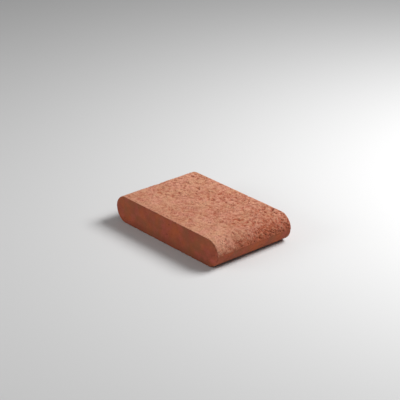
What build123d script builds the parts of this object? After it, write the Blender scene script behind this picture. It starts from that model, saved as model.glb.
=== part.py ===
from build123d import *
import os

# A double-bullnose wall coping, cast in one piece of coloured concrete.
# Millimetres. X runs across the wall from nose to nose, Y along the wall from
# end face to end face, and Z up. The origin is the middle of the bed face.

WIDTH = 320.0  # over both noses, so that it oversails a wall of about 280 mm
LENGTH = 198.0  # along the wall: a 200 mm module less one thin joint
THICKNESS = 60.0

NOSE_RADIUS = THICKNESS / 2  # both long edges are full half rounds
SEAM_HEIGHT = THICKNESS / 2  # the mould's two halves meet at the nose's widest line
SEAM_SETBACK = 0.6  # how far the smooth lower half lies inside the textured upper half
ARRIS_RADIUS = 1.5  # the eased edge all round each end face


def half_round_slab(width):
    """A slab of that width on the bed plane, with half-round long edges and eased end arrises."""
    section = Plane.XZ * SlotOverall(width, THICKNESS)
    slab = extrude(section, LENGTH / 2, both=True)
    end_faces = slab.faces().filter_by(Axis.Y)
    slab = fillet(end_faces.edges(), ARRIS_RADIUS)
    return Pos(0, 0, NOSE_RADIUS) * slab


def layer(bottom, top):
    """The space between two heights, wider and longer than the coping."""
    height = top - bottom
    return Pos(0, 0, bottom + height / 2) * Box(2 * WIDTH, 2 * LENGTH, height)


def coping_block():
    """One solid: the textured upper half and, a step inside it, the smooth lower half."""
    upper = half_round_slab(WIDTH) & layer(SEAM_HEIGHT, THICKNESS)
    lower = half_round_slab(WIDTH - 2 * SEAM_SETBACK) & layer(0, SEAM_HEIGHT)
    return upper + lower


os.makedirs("parts", exist_ok=True)
block = coping_block()
export_step(block, "parts/coping_block.step")

size = block.bounding_box().size
print(f"coping_block {size.X:.1f} x {size.Y:.1f} x {size.Z:.1f} mm")
print(f"volume {block.volume / 1e6:.3f} litres, faces {len(block.faces())}")
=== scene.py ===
# %% [markdown]
# # A textured concrete wall coping
#
# A coping is the lid of a garden wall. This one is a slab of red-brown concrete, cast in
# one piece, with a full half round along both long edges. Its upper half has a rough,
# stone-like texture, and its lower half and its two end faces are smooth.
#
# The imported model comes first. It holds the block at full size, so every length below is
# read from it or is a named size on the same scale, in metres. The picture has no scale:
# the proportions are measured from it, and a thickness of 60 mm is assumed. X runs across
# the wall from nose to nose, Y along the wall and Z up, and the bed face lies at Z = 0.

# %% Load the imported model
import math
import random

import bpy
import numpy as np
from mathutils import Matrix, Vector, geometry, noise


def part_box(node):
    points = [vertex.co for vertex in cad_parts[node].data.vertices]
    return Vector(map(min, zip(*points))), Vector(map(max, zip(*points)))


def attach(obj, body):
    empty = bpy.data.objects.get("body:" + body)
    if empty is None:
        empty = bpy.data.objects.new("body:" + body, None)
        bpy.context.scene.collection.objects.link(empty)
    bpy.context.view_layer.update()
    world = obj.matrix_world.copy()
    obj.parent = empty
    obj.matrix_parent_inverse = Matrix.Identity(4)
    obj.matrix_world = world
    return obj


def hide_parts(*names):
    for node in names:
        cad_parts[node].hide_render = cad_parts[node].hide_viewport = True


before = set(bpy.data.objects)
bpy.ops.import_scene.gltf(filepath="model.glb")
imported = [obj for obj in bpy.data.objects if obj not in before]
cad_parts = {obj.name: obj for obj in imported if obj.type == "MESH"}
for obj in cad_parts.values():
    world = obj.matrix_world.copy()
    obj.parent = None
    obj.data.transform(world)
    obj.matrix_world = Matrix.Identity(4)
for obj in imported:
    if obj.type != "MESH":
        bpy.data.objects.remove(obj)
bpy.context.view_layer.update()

MM = 0.001
block_low, block_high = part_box("coping_block")
WIDTH, LENGTH, THICKNESS = block_high - block_low
print(f"the block is {WIDTH / MM:.1f} x {LENGTH / MM:.1f} x {THICKNESS / MM:.1f} mm")

# %% [markdown]
# ## The camera
#
# A picture for a shop is taken from well away with a long lens, so that the block's
# parallel edges stay almost parallel. The camera could be placed by eye, but it is easier
# to trust when it is built up from what it means: a direction seen from the block's
# middle, a distance, and how far the block sits off the middle of the picture. The numbers
# were found by fitting the block's outline to the one in the picture.

# %% Place the camera
VIEW_AZIMUTH = math.radians(49.1)  # round from straight in front of the near end face
VIEW_ELEVATION = math.radians(24.5)
VIEW_DISTANCE = 2984 * MM
LENS_LENGTH = 130.4  # Blender gives a lens in millimetres
AIM_LEFT = 4.9 * MM  # the camera aims beside and above the block's middle, so the
AIM_ABOVE = 35.1 * MM  # block sits a little right of the picture's middle, and below it

middle = (block_low + block_high) / 2
level = math.cos(VIEW_ELEVATION)
backward = Vector((
    math.sin(VIEW_AZIMUTH) * level,
    -math.cos(VIEW_AZIMUTH) * level,
    math.sin(VIEW_ELEVATION),
))
rightward = Vector((math.cos(VIEW_AZIMUTH), math.sin(VIEW_AZIMUTH), 0))
upward = backward.cross(rightward)

camera = bpy.data.objects.new("camera", bpy.data.cameras.new("camera"))
bpy.context.scene.collection.objects.link(camera)
camera.data.lens = LENS_LENGTH
camera.location = middle + backward * VIEW_DISTANCE - rightward * AIM_LEFT + upward * AIM_ABOVE
camera.rotation_mode = "QUATERNION"
camera.rotation_quaternion = (-backward).to_track_quat("-Z", "Y")
bpy.context.scene.camera = camera
bpy.context.scene.view_settings.view_transform = "Standard"
print(f"the camera is {camera.location.z:.2f} m up, with a {LENS_LENGTH:.0f} mm lens")

# %% [markdown]
# ## The floor
#
# The block lies on a plain pale floor. It only has to fill the view and catch a soft
# shadow, so it is one large flat face.

# %% Lay the floor
FLOOR_REACH = 6.0
FLOOR_GREY = 0.62


def plain_material(name, grey):
    """A matt material with one shade of grey."""
    material = bpy.data.materials.new(name)
    material.use_nodes = True
    shader = material.node_tree.nodes["Principled BSDF"]
    shader.inputs["Base Color"].default_value = (grey, grey, grey, 1)
    shader.inputs["Roughness"].default_value = 0.9
    shader.inputs["Specular IOR Level"].default_value = 0.2
    return material


floor_mesh = bpy.data.meshes.new("studio_floor")
corners = [(-1, -1), (1, -1), (1, 1), (-1, 1)]
floor_mesh.from_pydata([(FLOOR_REACH * x, FLOOR_REACH * y, 0) for x, y in corners], [], [(0, 1, 2, 3)])
floor_mesh.materials.append(plain_material("pale_floor", FLOOR_GREY))
floor = bpy.data.objects.new("studio_floor", floor_mesh)
bpy.context.scene.collection.objects.link(floor)
print(f"the floor is {2 * FLOOR_REACH:.0f} m square")

# %% [markdown]
# ## The light
#
# The picture's light seems to come from high up and is very soft: the top is bright and
# even, the nose darkens slowly as it turns down, and the end face that looks at the camera
# is in shade. A large softbox above and behind the block does that, and its low slant
# brings out the texture. A wide, weak one in front opens up the shaded end face. Small
# lamps would give hard shadows, and a bright world alone would leave the rough top looking
# flat, so the world stays dim. Places and powers were adjusted until the top, the end face
# and the upper nose came close to the picture's brightness. Under its widest line the nose
# is still brighter than in the picture.

# %% Hang two softboxes and set the dim world
def softbox(name, place, aim, sides, power):
    """A large rectangular lamp at a place, turned to face the aim point, with power in watts."""
    lamp = bpy.data.lights.new(name, "AREA")
    lamp.shape = "RECTANGLE"
    lamp.size, lamp.size_y = sides
    lamp.energy = power
    holder = bpy.data.objects.new(name, lamp)
    bpy.context.scene.collection.objects.link(holder)
    holder.location = place
    holder.rotation_mode = "QUATERNION"
    holder.rotation_quaternion = (Vector(aim) - Vector(place)).to_track_quat("-Z", "Y")
    return holder


softbox("overhead_softbox", place=(0.55, 1.05, 1.35), aim=middle, sides=(1.0, 0.8), power=42)
softbox("front_fill", place=(-0.9, -2.2, 0.9), aim=middle, sides=(1.6, 1.0), power=20)

WORLD_BRIGHTNESS = 0.22
world = bpy.data.worlds.new("dim_studio")
world.use_nodes = True
world.node_tree.nodes["Background"].inputs["Color"].default_value = (1, 1, 1, 1)
world.node_tree.nodes["Background"].inputs["Strength"].default_value = WORLD_BRIGHTNESS
bpy.context.scene.world = world
print(f"two softboxes, and a world at {WORLD_BRIGHTNESS} of white")

# %% [markdown]
# ## The section of the block
#
# Sawn across, the block would show a flat slab with a half circle at each side. In the
# picture the texture ends in a line along the nose's widest place. That is taken for the
# seam of a mould in two halves: the textured upper half is made a hair wider than the
# lower one, which leaves a small step along each nose.
#
# Each half of the skin can be peeled off and laid flat, as paper comes off a parcel: a
# quarter round, the flat, and a quarter round. A point of the skin is then two lengths,
# its run across that sheet and its place along the wall. Working on flat sheets makes it
# easy to spread points evenly, to place pores, and to lay out a texture map later.

# %% Wrap a flat sheet round the block
NOSE_RADIUS = THICKNESS / 2
SEAM_HEIGHT = THICKNESS / 2
SEAM_SETBACK = 0.6 * MM
ARRIS_RADIUS = 1.5 * MM  # the eased edge round each end face
QUARTER_ROUND = NOSE_RADIUS * math.pi / 2
STRAIGHT = LENGTH / 2 - ARRIS_RADIUS  # from the middle to where the end edge starts to turn
SHEET_END = STRAIGHT + ARRIS_RADIUS * math.pi / 2

overall_width = {1: WIDTH, -1: WIDTH - 2 * SEAM_SETBACK}  # 1 is the upper half, -1 the lower


def flat_width(half):
    """How wide the flat between the two quarter rounds is."""
    return overall_width[half] - 2 * NOSE_RADIUS


def sheet_width(half):
    """How wide that half of the skin is when it is laid flat."""
    return 2 * QUARTER_ROUND + flat_width(half)


def wrap(run, along, half):
    """Where points of a flat sheet lie on the block, and which way the skin faces there."""
    flat = flat_width(half)
    on_flat = np.clip(run - QUARTER_ROUND, 0, flat)
    first_round = np.clip(run, 0, QUARTER_ROUND)
    second_round = np.clip(run - QUARTER_ROUND - flat, 0, QUARTER_ROUND)
    turned = (first_round + second_round) / NOSE_RADIUS
    over_edge = np.clip((np.abs(along) - STRAIGHT) / ARRIS_RADIUS, 0, math.pi / 2)
    radius = NOSE_RADIUS - ARRIS_RADIUS * (1 - np.cos(over_edge))
    x = flat / 2 - on_flat + radius * np.cos(turned)
    y = np.sign(along) * (np.minimum(np.abs(along), STRAIGHT) + ARRIS_RADIUS * np.sin(over_edge))
    z = SEAM_HEIGHT + half * radius * np.sin(turned)
    outward = np.stack([
        np.cos(over_edge) * np.cos(turned),
        np.sign(along) * np.sin(over_edge),
        half * np.cos(over_edge) * np.sin(turned),
    ], axis=1)
    return np.stack([x, y, z], axis=1), outward


print(f"the upper sheet is {sheet_width(1) / MM:.1f} x {2 * SHEET_END / MM:.1f} mm")

# %% [markdown]
# ## Points for the skin
#
# The rough half needs points about as close as its finest modelled bumps, and the smooth
# half far fewer. Rows of points, each row shifted half a step from the last, make nearly
# equal triangles, which shade more evenly than a stretched grid. Extra rows follow the
# eased edge at each end. Both sheets keep the same rows along the seam, so that they meet
# point to point there.

# %% Spread points over a flat sheet
ROUGH_SPACING = 1.09 * MM
SMOOTH_SPACING = 2.45 * MM
ARRIS_STEPS = 4
ROW_SHAPE = math.sqrt(3) / 2  # how far apart the rows of equal-sided triangles are


def rows_along(spacing):
    """Places along the block: even between the end edges, and closer over each edge."""
    body = np.linspace(-STRAIGHT, STRAIGHT, round(2 * STRAIGHT / (spacing * ROW_SHAPE)) + 1)
    over = STRAIGHT + (SHEET_END - STRAIGHT) * np.arange(1, ARRIS_STEPS + 1) / ARRIS_STEPS
    return np.concatenate([-over[::-1], body, over])


def spread_points(half, spacing, rows):
    """Points in shifted rows over one sheet, as runs and places along."""
    across = sheet_width(half)
    steps = round(across / spacing)
    even_row = np.linspace(0, across, steps + 1)
    odd_row = np.concatenate([[0], (even_row[:-1] + even_row[1:]) / 2, [across]])
    points = []
    for number, along in enumerate(rows):
        runs = odd_row if number % 2 else even_row
        points.append(np.stack([runs, np.full(len(runs), along)], axis=1))
    return np.concatenate(points)


rough_rows = rows_along(ROUGH_SPACING)
rough_sheet = spread_points(1, ROUGH_SPACING, rough_rows)
print(f"the rough sheet has {len(rough_sheet)} points in {len(rough_rows)} rows")

# %% Spread the smooth sheet's points, with the seam points shared
smooth_rows = rows_along(SMOOTH_SPACING)
smooth_sheet = spread_points(-1, SMOOTH_SPACING, smooth_rows)
inside = (smooth_sheet[:, 0] > 0) & (smooth_sheet[:, 0] < sheet_width(-1))
seam_points = [(run, along) for run in (0, sheet_width(-1)) for along in rough_rows]
smooth_sheet = np.concatenate([smooth_sheet[inside], seam_points])
print(f"the smooth sheet has {len(smooth_sheet)} points")

# %% [markdown]
# ## Pores
#
# Air that is caught against a smooth mould leaves small round pores in the smooth faces.
# Painting them as dots would look flat from close by, so each one gets a few rings of
# points of its own, which are pushed in later. Most are under 2 mm across.

# %% Scatter pores and give each its rings of points
SMALLEST_PORE = 0.45  # a radius in millimetres, and most pores are near it
LARGEST_PORE = 1.55
PORES_BELOW = 90
PORE_RINGS = (0.45, 0.85, 1.15)  # these and the next three are shares of a pore's radius
PORE_CLEARING = 1.6  # how far round a pore the sheet's own points are taken out
PORE_MARGIN = 3  # how far a pore stays from the sheet's edge
PORE_APART = 2.5  # how far two pores stay apart, for their two radii together
PORE_CORNERS = 9
dice = random.Random(11)


def scatter_pores(count, spot_in, clear_of):
    """Pores as rows of across, along and radius, none too near to another or the edge."""
    pores = []
    while len(pores) < count:
        radius = MM * (SMALLEST_PORE + (LARGEST_PORE - SMALLEST_PORE) * dice.random() ** 3)
        x, y = spot_in(dice)
        apart = all(math.hypot(x - px, y - py) > PORE_APART * (radius + pr) for px, py, pr in pores)
        if apart and clear_of(x, y) > PORE_MARGIN * radius:
            pores.append((x, y, radius))
    return np.array(pores)


def with_pore_rings(points, pores):
    """The points with those near a pore taken out, and the pore's own rings put in."""
    rings = []
    for x, y, radius in pores:
        far = np.hypot(points[:, 0] - x, points[:, 1] - y) > PORE_CLEARING * radius
        points = points[far]
        rings.append((x, y))
        for ring in PORE_RINGS:
            turn = np.arange(PORE_CORNERS) * math.tau / PORE_CORNERS + 6 * ring
            rings.extend(zip(x + ring * radius * np.cos(turn), y + ring * radius * np.sin(turn)))
    return np.concatenate([points, rings])


def pore_depth(points, pores):
    """How deep each point lies in a pore: a round hollow with a crisp rim."""
    depth = np.zeros(len(points))
    for x, y, radius in pores:
        share = np.hypot(points[:, 0] - x, points[:, 1] - y) / radius
        depth = np.maximum(depth, 0.9 * radius * np.sqrt(np.clip(1 - share**2, 0, 1)))
    return depth


sheet_pores = scatter_pores(
    PORES_BELOW,
    lambda d: (d.uniform(0, sheet_width(-1)), d.uniform(-STRAIGHT, STRAIGHT)),
    lambda x, y: min(x, sheet_width(-1) - x, STRAIGHT - abs(y)),
)
smooth_sheet = with_pore_rings(smooth_sheet, sheet_pores)
print(f"{len(sheet_pores)} pores, and {len(smooth_sheet)} points with their rings")

# %% [markdown]
# ## Stitching points into a skin
#
# Blender's own triangulator, delaunay_2d_cdt, joins any flat set of points with the best
# shaped triangles it can. It works in the flat, which is one more reason to model on
# sheets. Each part of the skin is joined up in its own sheet, and the triangles are kept
# as numbers of points in one common list, so that parts share the points where they meet.

# %% Start the skin and stitch its two sheets
skin = {"places": [], "outward": [], "rough": [], "depth": []}
faces = []  # each is its part's name and the numbers of its corners
sheet_spots = {}  # for each part, its points' numbers and where they lie in its sheet


def add_points(places, outward, rough, depth):
    """Puts points in the skin and returns their numbers."""
    first = sum(len(block) for block in skin["places"])
    skin["places"].append(places)
    skin["outward"].append(outward)
    skin["rough"].append(np.full(len(places), rough))
    skin["depth"].append(depth)
    return np.arange(first, first + len(places))


def stitch(part, numbers, spots, outline):
    """Joins a sheet's points with triangles, inside its outline of places in the list."""
    edges = [(outline[i - 1], outline[i]) for i in range(len(outline))]
    flat = [Vector(spot) for spot in spots]
    found = geometry.delaunay_2d_cdt(flat, edges, [], 1, 1e-9)
    given = [origin[0] for origin in found[3]]
    for triangle in found[2]:
        faces.append((part, [int(numbers[given[corner]]) for corner in triangle]))
    sheet_spots[part] = dict(zip(numbers.tolist(), map(tuple, spots)))
    return len(found[2])


def round_the_sheet(points, across):
    """The sheet's outline: places in the list of the points on its four sides, in order."""
    x, y = points[:, 0], points[:, 1]
    right, left = np.flatnonzero(x == 0), np.flatnonzero(x == across)
    front, back = np.flatnonzero(y == -SHEET_END), np.flatnonzero(y == SHEET_END)
    front = front[np.argsort(x[front])]
    left = left[np.argsort(y[left])]
    back = back[np.argsort(-x[back])]
    right = right[np.argsort(-y[right])]
    return [int(p) for side in (front, left, back, right) for p in side[:-1]]


def add_sheet(part, points, half, rough, depth):
    """Wraps a sheet round the block, stitches it, and returns its points' numbers."""
    places, outward = wrap(points[:, 0], points[:, 1], half)
    numbers = add_points(places, outward, rough, depth)
    count = stitch(part, numbers, points, round_the_sheet(points, sheet_width(half)))
    print(f"{part}: {count} triangles")
    return numbers


rough_numbers = add_sheet("rough_half", rough_sheet, 1, 1.0, np.zeros(len(rough_sheet)))
smooth_numbers = add_sheet("smooth_half", smooth_sheet, -1, 0.0, pore_depth(smooth_sheet, sheet_pores))

# %% [markdown]
# ## The seam ledge
#
# The little step under the texture joins the lowest row of the rough half to the highest
# row of the smooth half, on each nose. Both rows have the same places along the block, so
# the step is a plain strip of four-sided faces.

# %% Join the halves along both noses
def seam_row(points, numbers, run):
    """The numbers of a sheet's points on one seam, from the near end to the far one."""
    on_seam = np.flatnonzero(points[:, 0] == run)
    return numbers[on_seam[np.argsort(points[on_seam, 1])]].tolist()


for side, rough_run, smooth_run in (("right", 0, 0), ("left", sheet_width(1), sheet_width(-1))):
    upper = seam_row(rough_sheet, rough_numbers, rough_run)
    lower = seam_row(smooth_sheet, smooth_numbers, smooth_run)
    part = f"seam_{side}"
    sheet_spots[part] = {}
    for step in range(len(rough_rows) - 1):
        faces.append((part, [upper[step], upper[step + 1], lower[step + 1], lower[step]]))
    for number, along in zip(upper, rough_rows):
        sheet_spots[part][number] = (0, along)
    for number, along in zip(lower, rough_rows):
        sheet_spots[part][number] = (SEAM_SETBACK, along)
print(f"each seam ledge has {len(rough_rows) - 1} faces")

# %% [markdown]
# ## The end faces
#
# The end faces are flat and smooth, as a mould's end plates would leave them. Their outline
# is already there: it is the last row of both sheets. Inside it go three rings close to the
# edge, where chips will need points, then even rows, and the end's own pores.

# %% Fill the two end faces
EDGE_RINGS = (1.0 * MM, 2.2 * MM, 3.8 * MM)  # how far these rings lie inside the outline
CORE_INSET = 5.4 * MM
PORES_PER_END = 22
END_RADIUS = NOSE_RADIUS - ARRIS_RADIUS
CORE_HALF = flat_width(-1) / 2


def inside_end(x, z):
    """How far inside the end face's outline a point is."""
    return END_RADIUS - np.hypot(np.maximum(np.abs(x) - CORE_HALF, 0), z - SEAM_HEIGHT)


def edge_ring(inset, spacing):
    """Evenly spaced points that follow the end face's outline at some distance inside."""
    radius = END_RADIUS - inset
    around = 4 * CORE_HALF + math.tau * radius
    points = []
    for length in np.arange(0, around, around / round(around / spacing)):
        lap, rest = divmod(length, around / 2)
        straight = min(rest, 2 * CORE_HALF)
        turn = math.pi / 2 - max(rest - 2 * CORE_HALF, 0) / radius
        x = -CORE_HALF + straight + radius * math.cos(turn)
        z = radius * math.sin(turn)
        points.append((x, SEAM_HEIGHT + z) if lap == 0 else (-x, SEAM_HEIGHT - z))
    return points


def end_points():
    """The points inside an end face: rings by the edge, and even rows in the middle."""
    points = [spot for inset in EDGE_RINGS for spot in edge_ring(inset, 1.1 * MM + 0.35 * inset)]
    height = SMOOTH_SPACING * ROW_SHAPE
    for row, z in enumerate(np.arange(height / 2, THICKNESS, height)):
        for x in np.arange(-WIDTH / 2 + SMOOTH_SPACING / 2 * (row % 2), WIDTH / 2, SMOOTH_SPACING):
            if inside_end(x, z) > CORE_INSET:
                points.append((x, z))
    return np.array(points)


for part, end in (("near_end", -1), ("far_end", 1)):
    outline = []
    for points, numbers, order in ((rough_sheet, rough_numbers, 1), (smooth_sheet, smooth_numbers, -1)):
        last_row = np.flatnonzero(points[:, 1] == end * SHEET_END)
        outline.extend(numbers[last_row[np.argsort(order * points[last_row, 0])]].tolist())
    places = np.concatenate(skin["places"])[outline]
    pores = scatter_pores(
        PORES_PER_END,
        lambda d: (d.uniform(-WIDTH / 2, WIDTH / 2), d.uniform(0, THICKNESS)),
        inside_end,
    )
    inner = with_pore_rings(end_points(), pores)
    inner_places = np.stack([inner[:, 0], np.full(len(inner), end * LENGTH / 2), inner[:, 1]], axis=1)
    outward = np.tile([0.0, end, 0.0], (len(inner), 1))
    inner_numbers = add_points(inner_places, outward, 0.0, pore_depth(inner, pores))
    numbers = np.concatenate([outline, inner_numbers])
    spots = np.concatenate([places[:, [0, 2]], inner])
    count = stitch(part, numbers, spots, list(range(len(outline))))
    print(f"{part}: {count} triangles, {len(pores)} pores")

places = np.concatenate(skin["places"])
outward = np.concatenate(skin["outward"])
rough = np.concatenate(skin["rough"])
depth = np.concatenate(skin["depth"])
print(f"the skin has {len(places)} points and {len(faces)} faces")

# %% [markdown]
# ## The rough relief
#
# The texture looks like split stone: rugged lumps 3 to 14 mm across with creases between
# them and a finer grain, on top of swells as long as a hand is wide. One picture can't tell
# how deep it is, so the heights below are those that look right in the same light.
# It could be sculpted, but noise makes it in seconds. Blender's noise module gives the same
# value at the same place on every run, so no seed is needed, and because it works in space
# the relief flows round the noses without a join.
#
# A fractal adds up noises of ever smaller size. Its fade says how fast they lose height: a
# low fade leaves the small ones strong, which looks rugged. The absolute value of a noise
# turns its zero lines into creases. The shift has no meaning of its own: it only makes each
# noise differ from the others.

# %% Shape the swells, lumps and grain
SWELL_SIZE = 55 * MM
SWELL_HEIGHT = 0.55 * MM
LUMP_SIZE = 7.5 * MM
LUMP_HEIGHT = 1.7 * MM
CREASE_SIZE = 9 * MM
CREASE_DEPTH = 1.5 * MM
BEND_SIZE = 6 * MM
BEND_REACH = 2.0 * MM
GRAIN_SIZE = 2.4 * MM
GRAIN_HEIGHT = 0.38 * MM


def noise_at(place, size, shift, octaves=1, fade=1.0):
    """Blender's fractal noise, with bumps of about that size."""
    spot = Vector(place) / size + Vector((shift, 1.7 * shift, -shift))
    return noise.fractal(spot, fade, 2.0, octaves)


def swells(place):
    """Broad, low waves of the whole face."""
    return SWELL_HEIGHT * noise_at(place, SWELL_SIZE, shift=3.1, octaves=2)


def lumps(place):
    """Rugged lumps with creases between them, on a place that is first bent a little."""
    bend = Vector([noise_at(place, BEND_SIZE, shift) for shift in (5.0, 6.0, 7.0)])
    bent = Vector(place) + BEND_REACH * bend
    rugged = noise_at(bent, LUMP_SIZE, shift=11.3, octaves=3, fade=0.8)
    creases = abs(noise_at(bent, CREASE_SIZE, shift=23.9, octaves=2, fade=0.8)) - 0.25
    return LUMP_HEIGHT * rugged + CREASE_DEPTH * creases


def grain(place):
    """The fine grain that sits on the lumps."""
    return GRAIN_HEIGHT * noise_at(place, GRAIN_SIZE, shift=31.7)


print(f"the lumps' noise has a size of {LUMP_SIZE / MM:.1f} mm, and the grain's {GRAIN_SIZE / MM:.1f} mm")

# %% [markdown]
# ### Crests, pits and vigour
#
# Three things make the noise look like cast stone. The highest crests are pressed down
# softly, because the real ones look flattened. Pits open only where a noise of their own
# runs above a level, so they lie scattered and in groups. And the vigour of it all
# changes: this block looks calmer at its near end and rougher on its noses.

# %% Press the crests, open the pits and set the vigour
CREST_LIMIT = 0.5 * MM
CREST_SOFTNESS = 0.6 * MM
WIDE_PIT_SIZE = 8 * MM
WIDE_PIT_LEVEL = 0.36
SMALL_PIT_SIZE = 4.2 * MM
SMALL_PIT_LEVEL = 0.42
NEAR_END_VIGOUR = 0.50
MORE_AT_FAR_END = 0.75
MORE_ON_NOSES = 0.30
PATCHINESS = 0.35
PATCH_SIZE = 60 * MM


def pressed(height):
    """That height, with high crests pressed softly down towards the limit."""
    return (height + CREST_LIMIT - math.hypot(height - CREST_LIMIT, CREST_SOFTNESS)) / 2


def pits(place):
    """Irregular pits of two sizes, where a noise of their own runs high."""
    wide = max(noise_at(place, WIDE_PIT_SIZE, 47.0, octaves=2, fade=0.6) - WIDE_PIT_LEVEL, 0)
    small = max(noise_at(place, SMALL_PIT_SIZE, 53.0, octaves=2, fade=0.6) - SMALL_PIT_LEVEL, 0)
    return -MM * (2.2 * wide + 1.6 * small)


def vigour(place):
    """How strongly the texture shows: more at the far end and on the noses, and patchy."""
    along = (place[1] + LENGTH / 2) / LENGTH
    on_nose = np.clip((abs(place[0]) - CORE_HALF) / NOSE_RADIUS, 0, 1)
    steady = NEAR_END_VIGOUR + MORE_AT_FAR_END * along + MORE_ON_NOSES * on_nose
    return steady + PATCHINESS * noise_at(place, PATCH_SIZE, shift=59.2)


print(f"crests are pressed down from {CREST_LIMIT / MM:.1f} mm")

# %% [markdown]
# ### The relief of every point
#
# Each point of the rough half now gets its height. The fine part is also kept by itself,
# measured from its middle value: the dust, the painted sheen on the crests and the painted
# shade in the hollows will follow it, and they don't care about the broad swells.

# %% Measure the relief at every point of the rough half
rough_points = np.flatnonzero(rough > 0)
relief = np.zeros(len(places))
fine_relief = np.zeros(len(places))
for number in rough_points:
    place = places[number]
    fine_relief[number] = vigour(place) * (pressed(lumps(place)) + grain(place) + pits(place))
    relief[number] = swells(place) + fine_relief[number]
fine_relief[rough_points] -= np.median(fine_relief[rough_points])
print(f"relief from {relief.min() / MM:.2f} to {relief.max() / MM:.2f} mm")
print(f"the fine part spreads {fine_relief[rough_points].std() / MM:.2f} mm about its middle")

# %% [markdown]
# ## Where the relief dies away
#
# The texture fades towards the end edges, perhaps because a mould's end plates press the
# concrete flat there, and just above the seam. It could be cut off, but a hard border would
# show, so a smooth step from 0 to 1 over a few millimetres does it.

# %% Calm the relief near the edges
END_MARGIN = 6 * MM
LEFT_AT_END = 0.15  # the share of the relief that is left right at the edge
SEAM_MARGIN = 3 * MM
LEFT_AT_SEAM = 0.35


def smooth_step(value, start, stop):
    """0 before start, 1 after stop, and a soft rise between them."""
    share = np.clip((value - start) / (stop - start), 0, 1)
    return share * share * (3 - 2 * share)


from_end = LENGTH / 2 - np.abs(places[:, 1])
from_seam = np.abs(places[:, 2] - SEAM_HEIGHT)
calm = LEFT_AT_END + (1 - LEFT_AT_END) * smooth_step(from_end, 0, END_MARGIN)
calm *= LEFT_AT_SEAM + (1 - LEFT_AT_SEAM) * smooth_step(from_seam, 0, SEAM_MARGIN)
relief *= calm
fine_relief *= calm
print(f"{np.mean(calm[rough_points] < 0.9):.0%} of the rough points are calmed")

# %% [markdown]
# ## Chips
#
# Handling knocks small chips off the end arrises. A chip could be cut out with a Boolean,
# but on so fine a mesh it is enough to push points in. Each chip is a place on the end's
# outline with a reach, and the points inside it move in along the diagonal between the two
# faces. A little noise keeps its border ragged. Most chips are thrown by dice, and four
# nicks on the near right nose are placed about where this block has them.

# %% Knock chips off the end arrises
CHIPS_PER_END = 18
SMALLEST_CHIP = 1.3  # a reach in millimetres
CHIP_RANGE = 2.4  # how much further the largest chip reaches
CHIP_DEPTH = 0.42  # of the chip's reach
CHIP_RAG_SIZE = 1.6 * MM
NICK_TURNS = (42, 62, 86, 112)  # degrees round the near right nose, from straight up
NICK_REACH = 2.4 * MM

chip_push = np.zeros((len(places), 3))
chipped = np.zeros(len(places))


def chip_at(x, z, end, reach):
    """Pushes the points near a place on an end's outline inwards."""
    spot = np.array([x, end * LENGTH / 2, z])
    share = 1 - np.linalg.norm(places - spot, axis=1) / reach
    from_core = np.array([x - math.copysign(min(abs(x), CORE_HALF), x), z - SEAM_HEIGHT])
    radial = from_core / np.hypot(*from_core)
    inward = -np.array([radial[0], end, radial[1]]) / math.sqrt(2)
    for number in np.flatnonzero(share > 0):
        rag = 1 + 0.8 * noise_at(places[number], CHIP_RAG_SIZE, shift=83.0)
        push = np.clip(1.5 * share[number] * rag, 0, 1)
        if push > chipped[number]:
            chipped[number] = push
            chip_push[number] = CHIP_DEPTH * reach * push * inward


for end in (-1, 1):
    for x, z in dice.sample(edge_ring(0, 1.0 * MM), CHIPS_PER_END):
        chip_at(x, z, end, MM * (SMALLEST_CHIP + CHIP_RANGE * dice.random() ** 2))
for turn in map(math.radians, NICK_TURNS):
    x = CORE_HALF + END_RADIUS * math.sin(turn)
    z = SEAM_HEIGHT + END_RADIUS * math.cos(turn)
    chip_at(x, z, -1, NICK_REACH)
print(f"{np.count_nonzero(chipped)} points are in chips")

# %% [markdown]
# ## Move the skin
#
# Every point moves along its own outward direction: by the relief on the rough half, by a
# hardly visible waviness on the smooth faces, and inwards in the pores. The picture hides
# the bed. It is taken as flat, and it carries the block, so nothing may reach below it.

# %% Push the points out and in
WAVE_SIZE = 40 * MM
WAVE_HEIGHT = 0.10 * MM

smooth_points = np.flatnonzero(rough == 0)
for number in smooth_points:
    relief[number] = WAVE_HEIGHT * noise_at(places[number], WAVE_SIZE, shift=71.4, octaves=2)
surface = places + outward * (relief - depth)[:, None] + chip_push
surface[:, 2] = np.maximum(surface[:, 2], block_low.z)
print(f"the highest point is {surface[:, 2].max() / MM:.2f} mm above the bed")

# %% [markdown]
# ## The mesh
#
# The mesh takes the moved points and their faces as they are. The faces were stitched in
# sheets that lie either way up, so Blender's own tool turns them all outwards. Smooth
# shading hides the small triangles, and only edges that are really sharp, such as those of
# the seam ledge and the chips, stay crisp.

# %% Make the mesh
SHARP_EDGE = math.radians(50)

block_mesh = bpy.data.meshes.new("textured_coping")
block_mesh.from_pydata(surface.tolist(), [], [corners for part, corners in faces])
block_mesh.validate()
block = bpy.data.objects.new("textured_coping", block_mesh)
bpy.context.scene.collection.objects.link(block)

bpy.context.view_layer.objects.active = block
block.select_set(True)
bpy.ops.object.mode_set(mode="EDIT")
bpy.ops.mesh.select_all(action="SELECT")
bpy.ops.mesh.normals_make_consistent(inside=False)
bpy.ops.object.mode_set(mode="OBJECT")
block_mesh.shade_smooth()
block_mesh.set_sharp_from_angle(angle=SHARP_EDGE)
block_mesh.calc_loop_triangles()
print(f"{len(block_mesh.vertices)} points, {len(block_mesh.loop_triangles)} triangles")
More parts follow.
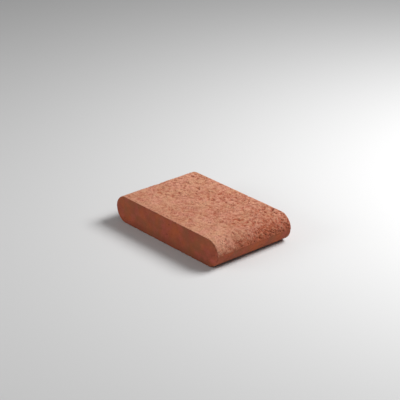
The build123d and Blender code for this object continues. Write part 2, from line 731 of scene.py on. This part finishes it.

# %% [markdown]
# ## Notes for the material
#
# The material will need to know where it is: on rough or smooth skin, on a crest or in a
# hollow, on an edge that is rubbed and takes a painted highlight. Masks could be painted by
# hand, but here these things are known for every point, so they are stored on the mesh as
# attributes. The pale edge line is partly wear and partly a painted highlight, and it shows
# most along the top, where hands and trowels reach it and the light from above catches it.

# %% Store the notes on the mesh's points
def keep_as_attribute(name, values):
    """Stores one number for each point, which the material can read by that name."""
    attribute = block_mesh.attributes.new(name, "FLOAT", "POINT")
    attribute.data.foreach_set("value", np.asarray(values, np.float32))


over_the_edge = np.abs(outward[:, 1])
near_the_top = smooth_step(places[:, 2], 0.7 * THICKNESS, 0.97 * THICKNESS)
# The pale edge line: partly wear and partly a painted highlight, strongest along the top.
arris_wear_and_highlight = smooth_step(from_end, 3.0 * MM, 0.6 * MM) * (1 - smooth_step(over_the_edge, 0.75, 1.0))
arris_wear_and_highlight *= 0.15 + 0.85 * near_the_top
keep_as_attribute("roughcast", rough * (1 - smooth_step(over_the_edge, 0.5, 1.0)))
keep_as_attribute("relief", fine_relief / MM)
keep_as_attribute("facing_up", np.clip(outward[:, 2], 0, 1))
keep_as_attribute("arris_wear_and_highlight", arris_wear_and_highlight * (1 - chipped))
keep_as_attribute("chipped", chipped)
keep_as_attribute("pore", np.clip(depth / (0.5 * MM), 0, 1))
print(f"{np.mean(arris_wear_and_highlight > 0):.0%} of the points are on a worn edge")

# %% [markdown]
# ## A map for textures
#
# When the block is exported its colours are baked into pictures, and for that the skin has
# to lie flat on one square. An automatic unwrap would cut the bumpy face into scraps. Here
# the sheets are flat already, so they only need laying out side by side, at one scale.

# %% Lay the sheets out on a square
MAP_GAP = 4 * MM
SHEET_LENGTH = 2 * SHEET_END
MAP_SIDE = 2 * SHEET_LENGTH + THICKNESS + 4 * MAP_GAP

second_row = SHEET_LENGTH + 2 * MAP_GAP
third_row = 2 * SHEET_LENGTH + 3 * MAP_GAP
end_column = sheet_width(1) + 2 * MAP_GAP
seam_column = end_column + THICKNESS + MAP_GAP
laid_out = {
    "rough_half": lambda x, y: (MAP_GAP + x, MAP_GAP + SHEET_END + y),
    "smooth_half": lambda x, y: (MAP_GAP + x, second_row + SHEET_END + y),
    "near_end": lambda x, z: (MAP_GAP + WIDTH / 2 + x, third_row + z),
    "far_end": lambda x, z: (end_column + z, MAP_GAP + WIDTH / 2 + x),
    "seam_right": lambda x, y: (seam_column + x, MAP_GAP + SHEET_END + y),
    "seam_left": lambda x, y: (seam_column + MAP_GAP + x, MAP_GAP + SHEET_END + y),
}
map_spots = np.zeros((len(block_mesh.loops), 2), np.float32)
for polygon, (part, corners) in zip(block_mesh.polygons, faces):
    for loop in polygon.loop_indices:
        spot = sheet_spots[part][block_mesh.loops[loop].vertex_index]
        map_spots[loop] = laid_out[part](*spot)
bake_map = block_mesh.uv_layers.new(name="OFBake")
bake_map.data.foreach_set("uv", (map_spots / MAP_SIDE).ravel())
print(f"the map covers {map_spots.max() / MAP_SIDE:.0%} of its square's side")

# %% [markdown]
# ## The concrete
#
# Red-brown concrete is usually sand and cement coloured with iron oxide. The cement skin of
# the smooth faces is deep and even, with soft clouds. On the rough face it looks as if the
# skin were broken, with pale sand showing and dust on the high spots, and there a painted
# sheen also stands in for the light on the upward faces and crests. The material is built
# from nodes in the block's own coordinates, so that it has no seams and a grain's size is a
# length. A pixel of the picture is about 2 mm wide here, so the grains' sizes are guesses,
# and the colours were adjusted until the faces came close to the picture's.

# %% Start the material
concrete = bpy.data.materials.new("red_brown_concrete")
concrete.use_nodes = True
tree = concrete.node_tree
shader = tree.nodes["Principled BSDF"]
coordinates = tree.nodes.new("ShaderNodeTexCoord").outputs["Object"]


def paint(red, green, blue):
    """A colour from the 0 to 255 numbers of a paint chart, as the linear light Blender uses."""
    shares = [channel / 255 for channel in (red, green, blue)]
    return [s / 12.92 if s <= 0.04045 else ((s + 0.055) / 1.055) ** 2.4 for s in shares] + [1]


print(f"a middle grey of the chart is {paint(128, 128, 128)[0]:.2f} of full light")

# %% [markdown]
# ### Clouds
#
# Almost every finish below starts from clouds: a soft number that changes from place to
# place, from a noise texture of some size. Each one reads the coordinates moved by its own
# shift, or all the clouds would lie on top of each other.

# %% Make clouds of any size
def moved(shift):
    """The block's coordinates moved along, so that two textures aren't the same."""
    adder = tree.nodes.new("ShaderNodeVectorMath")
    adder.operation = "ADD"
    tree.links.new(coordinates, adder.inputs[0])
    adder.inputs[1].default_value = (shift, 0.7 * shift, -1.3 * shift)
    return adder.outputs["Vector"]


def noise_texture(size, detail=2, roughness=0.5, shift=0.0):
    """Blender's noise texture with patches of about that size."""
    texture = tree.nodes.new("ShaderNodeTexNoise")
    tree.links.new(moved(shift), texture.inputs["Vector"])
    texture.inputs["Scale"].default_value = 1 / size
    texture.inputs["Detail"].default_value = detail
    texture.inputs["Roughness"].default_value = roughness
    return texture


def clouds(size, detail=2, roughness=0.5, shift=0.0):
    """A soft noise from 0 to 1, which is mostly near 0.5."""
    return noise_texture(size, detail, roughness, shift).outputs["Fac"]


print("clouds can be made")

# %% [markdown]
# ### Shares and layers
#
# A finish goes on like thin paint: one colour over another, by a share from 0 to 1 that
# changes from place to place. The Map Range node turns clouds into such a share. It
# stretches their middle values and cuts off the rest, which leaves patches with soft
# borders. In spread below, the first two numbers are the values that are stretched, and the
# last two are what they become. The Mix node then lays the colour on.

# %% Turn clouds into shares, and lay one colour over another
def spread(value, low, high, new_low=0.0, new_high=1.0):
    """Stretches a value from one range to another, and stops at the ends."""
    node = tree.nodes.new("ShaderNodeMapRange")
    tree.links.new(value, node.inputs["Value"])
    limits = {"From Min": low, "From Max": high, "To Min": new_low, "To Max": new_high}
    for name, number in limits.items():
        node.inputs[name].default_value = number
    return node.outputs["Result"]


def blend_colours(share, under, over):
    """The over colour laid on the under colour by that share."""
    node = tree.nodes.new("ShaderNodeMix")
    node.data_type = "RGBA"
    for name, value in (("Factor_Float", share), ("A_Color", under), ("B_Color", over)):
        socket = next(s for s in node.inputs if s.identifier == name)
        if isinstance(value, (int, float, list)):
            socket.default_value = value
        else:
            tree.links.new(value, socket)
    return next(s for s in node.outputs if s.identifier == "Result_Color")


print("colours can be laid over each other")

# %% [markdown]
# ### The cement skin
#
# Pigment never mixes in quite evenly, and the skin keeps the streaks of the pour. Clouds
# of three sizes, each with its own shift so that they don't line up, lay faint orange,
# olive and pinkish patches over one brick red.

# %% Colour the cement skin
SKIN_RED = paint(160, 80, 58)
SKIN_ORANGE = paint(178, 91, 55)
SKIN_OLIVE = paint(146, 88, 58)
SKIN_PINK = paint(182, 90, 74)

orange_share = spread(clouds(40 * MM, 3, shift=0.31), 0.40, 0.62)
olive_share = spread(clouds(28 * MM, 4, shift=0.77), 0.45, 0.68, 0, 0.85)
pink_share = spread(clouds(17 * MM, 5, shift=1.13), 0.50, 0.72, 0, 0.75)
skin_colour = blend_colours(orange_share, SKIN_RED, SKIN_ORANGE)
skin_colour = blend_colours(olive_share, skin_colour, SKIN_OLIVE)
skin_colour = blend_colours(pink_share, skin_colour, SKIN_PINK)
print("the cement skin is coloured")

# %% [markdown]
# ### The dust and painted sheen on the rough face
#
# The rough face has the same concrete, but it looks paler where the face looks up and on
# the crests: partly from a pale dust, and partly from a painted sheen for the light that
# falls there. The steep part of the nose and the hollows stay bare. So the share of dust and
# sheen is a sum: how far the skin looks up, plus the relief, plus some cloudiness, and plus
# or minus four large patches that this block shows. The first two come from the notes that
# were stored on the mesh.

# %% Read the mesh's notes, add things up and make large patches
def from_mesh(name):
    """A number that was stored on the mesh's points."""
    reader = tree.nodes.new("ShaderNodeAttribute")
    reader.attribute_name = name
    return reader.outputs["Fac"]


def combine(operation, first, second):
    """One sum of two values, where the second may be a plain number."""
    node = tree.nodes.new("ShaderNodeMath")
    node.operation = operation
    for socket, value in zip(node.inputs, (first, second)):
        if isinstance(value, (int, float)):
            socket.default_value = value
        else:
            tree.links.new(value, socket)
    return node.outputs["Value"]


def patch(place, reach, shift):
    """A large soft patch with a ragged border: 1 at its middle and 0 at its reach."""
    ruler = tree.nodes.new("ShaderNodeVectorMath")
    ruler.operation = "DISTANCE"
    tree.links.new(coordinates, ruler.inputs[0])
    ruler.inputs[1].default_value = place
    wander = spread(clouds(30 * MM, 3, 0.6, shift), 0, 1, -0.4 * reach, 0.4 * reach)
    ragged = combine("ADD", ruler.outputs["Value"], wander)
    return spread(ragged, reach, 0.25 * reach)


print("the material can read the mesh")

# %% Work out the share of dust and painted sheen
roughcast = from_mesh("roughcast")
height = from_mesh("relief")
facing_up = from_mesh("facing_up")
pale_near_top = patch((90 * MM, -75 * MM, 60 * MM), 75 * MM, 2.1)
pale_near_nose = patch((156 * MM, -92 * MM, 46 * MM), 48 * MM, 2.2)
pale_far_left = patch((-110 * MM, 75 * MM, 60 * MM), 60 * MM, 2.5)
bare_far_nose = patch((150 * MM, 45 * MM, 35 * MM), 100 * MM, 2.3)
# Dust and painted sheen: paler the more the skin looks up and on the crests, less in the hollows.
dust_and_sheen = spread(facing_up, 0.08, 0.85, 0.0, 0.68)
dust_and_sheen = combine("ADD", dust_and_sheen, spread(height, -1.5, 1.0, -0.60, 0.40))
dust_and_sheen = combine("ADD", dust_and_sheen, spread(clouds(7 * MM, 3, 0.6, 1.7), 0.3, 0.7, -0.20, 0.20))
dust_and_sheen = combine("ADD", dust_and_sheen, spread(clouds(40 * MM, 2, 0.5, 1.9), 0.35, 0.65, -0.12, 0.12))
dust_and_sheen = combine("ADD", dust_and_sheen, combine("MULTIPLY", pale_near_top, 0.10))
dust_and_sheen = combine("ADD", dust_and_sheen, combine("MULTIPLY", pale_near_nose, 0.40))
dust_and_sheen = combine("ADD", dust_and_sheen, combine("MULTIPLY", pale_far_left, 0.25))
dust_and_sheen = combine("SUBTRACT", dust_and_sheen, combine("MULTIPLY", bare_far_nose, 0.28))
dust_and_sheen = spread(dust_and_sheen, 0, 1)
print("the dust follows the relief and four large patches")

# %% [markdown]
# ### The colours of the rough face
#
# The layers go on from the bottom up: bare concrete, dust and painted sheen that are
# pinkish here and beige there, and painted shade in the deepest hollows. The cement skin
# takes over where the face is smooth. Last comes a thin pale line along the end edges, part
# wear and part painted highlight, which clouds break up.

# %% Colour the rough face
BARE_FACE = paint(170, 90, 62)
DUST_AND_SHEEN_PINK = paint(208, 145, 120)
DUST_AND_SHEEN_BEIGE = paint(206, 150, 118)
HOLLOW_SHADE = paint(126, 66, 46)

dust_and_sheen_colour = blend_colours(spread(clouds(26 * MM, 2, shift=2.7), 0.40, 0.60), DUST_AND_SHEEN_PINK, DUST_AND_SHEEN_BEIGE)
bare_colour = blend_colours(0.5, skin_colour, BARE_FACE)
face_colour = blend_colours(dust_and_sheen, bare_colour, dust_and_sheen_colour)
# Painted shade in the deepest hollows.
face_colour = blend_colours(spread(height, -1.0, -2.6, 0, 0.5), face_colour, HOLLOW_SHADE)
colour = blend_colours(roughcast, skin_colour, face_colour)
broken_up = spread(clouds(5 * MM, 3), 0.35, 0.6, 0.1, 0.75)
# A thin pale line along the end edges, part wear and part painted highlight.
worn_and_highlit_edge = combine("MULTIPLY", from_mesh("arris_wear_and_highlight"), broken_up)
colour = blend_colours(worn_and_highlit_edge, colour, DUST_AND_SHEEN_PINK)
print("the rough face is coloured")

# %% [markdown]
# ### Sand
#
# Fine concrete is mostly sand. A Voronoi texture divides space into cells of about one grain
# and gives each its own random colour. Straight cell borders would look like a mosaic, so
# the coordinates are first bent by a small noise. Every grain gets its own tone, and a few
# large ones are much paler or darker.

# %% Speckle the concrete with sand
SAND_PALE = paint(228, 184, 154)
SAND_DARK = paint(84, 44, 32)


def grains(size, shift):
    """Ragged grains: a random tone for each one, and its height as a low dome."""
    bend = tree.nodes.new("ShaderNodeVectorMath")
    bend.operation = "MULTIPLY_ADD"
    tree.links.new(noise_texture(0.7 * size, 2, 0.6, shift).outputs["Color"], bend.inputs[0])
    bend.inputs[1].default_value = (0.7 * size, 0.7 * size, 0.7 * size)
    tree.links.new(moved(shift), bend.inputs[2])
    cells = tree.nodes.new("ShaderNodeTexVoronoi")
    cells.inputs["Scale"].default_value = 1 / size
    tree.links.new(bend.outputs["Vector"], cells.inputs["Vector"])
    channels = tree.nodes.new("ShaderNodeSeparateColor")
    tree.links.new(cells.outputs["Color"], channels.inputs["Color"])
    return channels.outputs["Red"], spread(cells.outputs["Distance"], 0.75, 0.1)


fine_tone, fine_dome = grains(1.4 * MM, 0.05)
coarse_tone, coarse_dome = grains(2.6 * MM, 0.09)
shown = spread(roughcast, 0, 1, 0.2, 1.0)
# Pale sand shows more where the dust and the painted sheen lie.
dust_and_sheen_shown = combine("MULTIPLY", shown, spread(dust_and_sheen, 0, 1, 0.35, 1.0))
lighter = combine("MULTIPLY", spread(fine_tone, 0.55, 1.0, 0, 0.30), dust_and_sheen_shown)
darker = combine("MULTIPLY", spread(fine_tone, 0.45, 0.0, 0, 0.28), shown)
colour = blend_colours(lighter, colour, SAND_PALE)
colour = blend_colours(darker, colour, SAND_DARK)

coarse_body = spread(coarse_dome, 0.25, 0.45)
pale_grains = combine("MULTIPLY", spread(coarse_tone, 0.93, 0.95, 0, 0.45), coarse_body)
pale_grains = combine("MULTIPLY", pale_grains, dust_and_sheen_shown)
dark_grains = combine("MULTIPLY", spread(coarse_tone, 0.07, 0.05, 0, 0.45), coarse_body)
dark_grains = combine("MULTIPLY", dark_grains, shown)
colour = blend_colours(pale_grains, colour, SAND_PALE)
colour = blend_colours(dark_grains, colour, SAND_DARK)
print("the sand is in")

# %% [markdown]
# ### Pores, chips and painted shade by the bed
#
# Little light reaches into a pore, so it gets painted shade, a chip shows the browner
# concrete under the skin, and towards the bed the block gets painted shade, darker the
# lower it is. The pores and chips are marked on the mesh already. The shade by the bed only
# needs the height above the bed, which the material can read from its coordinates, and
# clouds to make it uneven.

# %% Darken the pores, the chips and the edge by the bed
PORE_SHADE = paint(92, 50, 40)
CHIP_BROWN = paint(132, 72, 50)
BED_SHADE_BROWN = paint(110, 60, 42)
colour = blend_colours(combine("MULTIPLY", from_mesh("pore"), 0.5), colour, PORE_SHADE)
colour = blend_colours(combine("MULTIPLY", from_mesh("chipped"), 0.75), colour, CHIP_BROWN)

part_coordinates = tree.nodes.new("ShaderNodeSeparateXYZ")
tree.links.new(coordinates, part_coordinates.inputs["Vector"])
# Painted shade: darker towards the bed, made uneven by clouds.
near_bed = spread(part_coordinates.outputs["Z"], 16 * MM, 2 * MM, 0, 0.45)
uneven_bed_shade = combine("MULTIPLY", near_bed, spread(clouds(15 * MM, 3), 0.3, 0.6, 0.5, 1.0))
colour = blend_colours(uneven_bed_shade, colour, BED_SHADE_BROWN)
tree.links.new(colour, shader.inputs["Base Color"])
print("the pores, chips and damp are in")

# %% [markdown]
# ### The feel of the surface
#
# The finest grit is too small to model, so a bump makes the light play on it as if it were
# there: strongly on the rough face, and hardly at all on the smooth skin. Bare concrete is
# matt everywhere, a little less so in patches, and it scatters light as chalk does, which
# is what Diffuse Roughness adds.

# %% Add the grit and set the sheen
GRIT_HEIGHT = 0.35 * MM

grit = combine("MULTIPLY", combine("ADD", combine("MULTIPLY", fine_tone, 0.6), 0.4), fine_dome)
grit = combine("ADD", grit, clouds(0.8 * MM, 3, 0.6, 2.2))
bump = tree.nodes.new("ShaderNodeBump")
bump.inputs["Distance"].default_value = GRIT_HEIGHT
tree.links.new(grit, bump.inputs["Height"])
tree.links.new(spread(roughcast, 0, 1, 0.15, 0.9), bump.inputs["Strength"])
tree.links.new(bump.outputs["Normal"], shader.inputs["Normal"])

patchy = clouds(9 * MM, 3, shift=3.3)
tree.links.new(spread(patchy, 0.3, 0.7, 0.82, 0.97), shader.inputs["Roughness"])
shader.inputs["Diffuse Roughness"].default_value = 0.6
shader.inputs["Specular IOR Level"].default_value = 0.25
block_mesh.materials.append(concrete)
print("the concrete is finished")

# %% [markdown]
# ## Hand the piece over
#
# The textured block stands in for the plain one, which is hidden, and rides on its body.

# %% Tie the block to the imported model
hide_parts("coping_block")
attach(block, "root")
